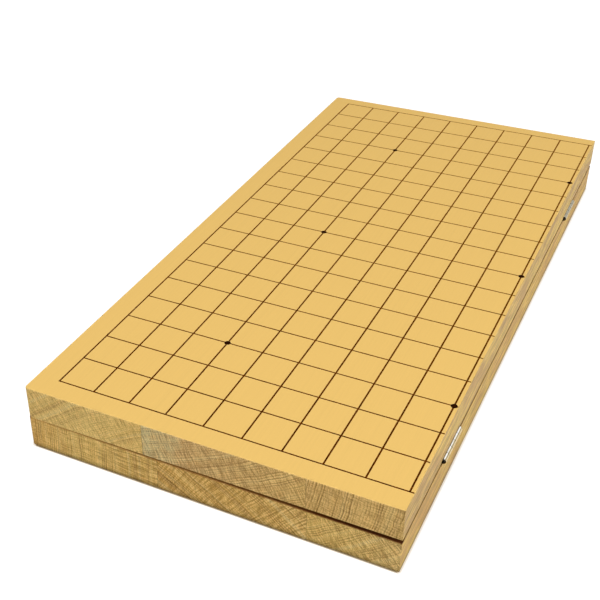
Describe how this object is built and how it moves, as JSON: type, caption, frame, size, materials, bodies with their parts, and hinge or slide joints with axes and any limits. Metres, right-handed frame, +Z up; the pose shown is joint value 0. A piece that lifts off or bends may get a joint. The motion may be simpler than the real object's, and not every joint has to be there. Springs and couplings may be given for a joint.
{
  "type": "folding go board",
  "caption": "Folding wooden go board: two edge-glued halves joined by small butt hinges, the ruled playing faces outward.",
  "frame": {"origin": "middle of the folded board's footprint, on the surface that its lower playing face rests on", "axes": "+Z up; +X towards the hinged edge; +Y along the long edges, away from the camera's end"},
  "size_m": [0.2168, 0.4502, 0.0411],
  "materials": {
    "upper_wood_free": "planed straight-grained wood, satin",
    "upper_wood_middle": "planed straight-grained wood, satin",
    "upper_wood_hinge": "planed straight-grained wood, satin",
    "lower_wood_free": "planed straight-grained wood, satin",
    "lower_wood_middle": "planed straight-grained wood, satin",
    "lower_wood_hinge": "planed straight-grained wood, satin",
    "ink": "thin dark brown-black printed ink, matt",
    "hinge_metal": "bright nickel-plated steel, lightly brushed",
    "screw_metal": "nickel-plated steel",
    "pin_metal": "plain drawn steel"
  },
  "bodies": {
    "lower_half": {"lower_free_plank": "lower_wood_free", "lower_middle_plank": "lower_wood_middle", "lower_hinge_plank": "lower_wood_hinge", "lower_grid_lines": "ink", "lower_star_points": "ink", "near_hinge_lower_leaf": "hinge_metal", "near_hinge_lower_screws": "screw_metal", "near_hinge_pin": "pin_metal", "far_hinge_lower_leaf": "hinge_metal", "far_hinge_lower_screws": "screw_metal", "far_hinge_pin": "pin_metal"},
    "upper_half": {"upper_free_plank": "upper_wood_free", "upper_middle_plank": "upper_wood_middle", "upper_hinge_plank": "upper_wood_hinge", "upper_grid_lines": "ink", "upper_star_points": "ink", "near_hinge_upper_leaf": "hinge_metal", "near_hinge_upper_screws": "screw_metal", "far_hinge_upper_leaf": "hinge_metal", "far_hinge_upper_screws": "screw_metal"}
  },
  "joints": [
    {"name": "fold", "type": "hinge", "parent": "lower_half", "child": "upper_half", "pos_m": [0.1068, 0, 0.0207], "axis": [0, 1, 0], "range_deg": [0, 180.25]}
  ]
}
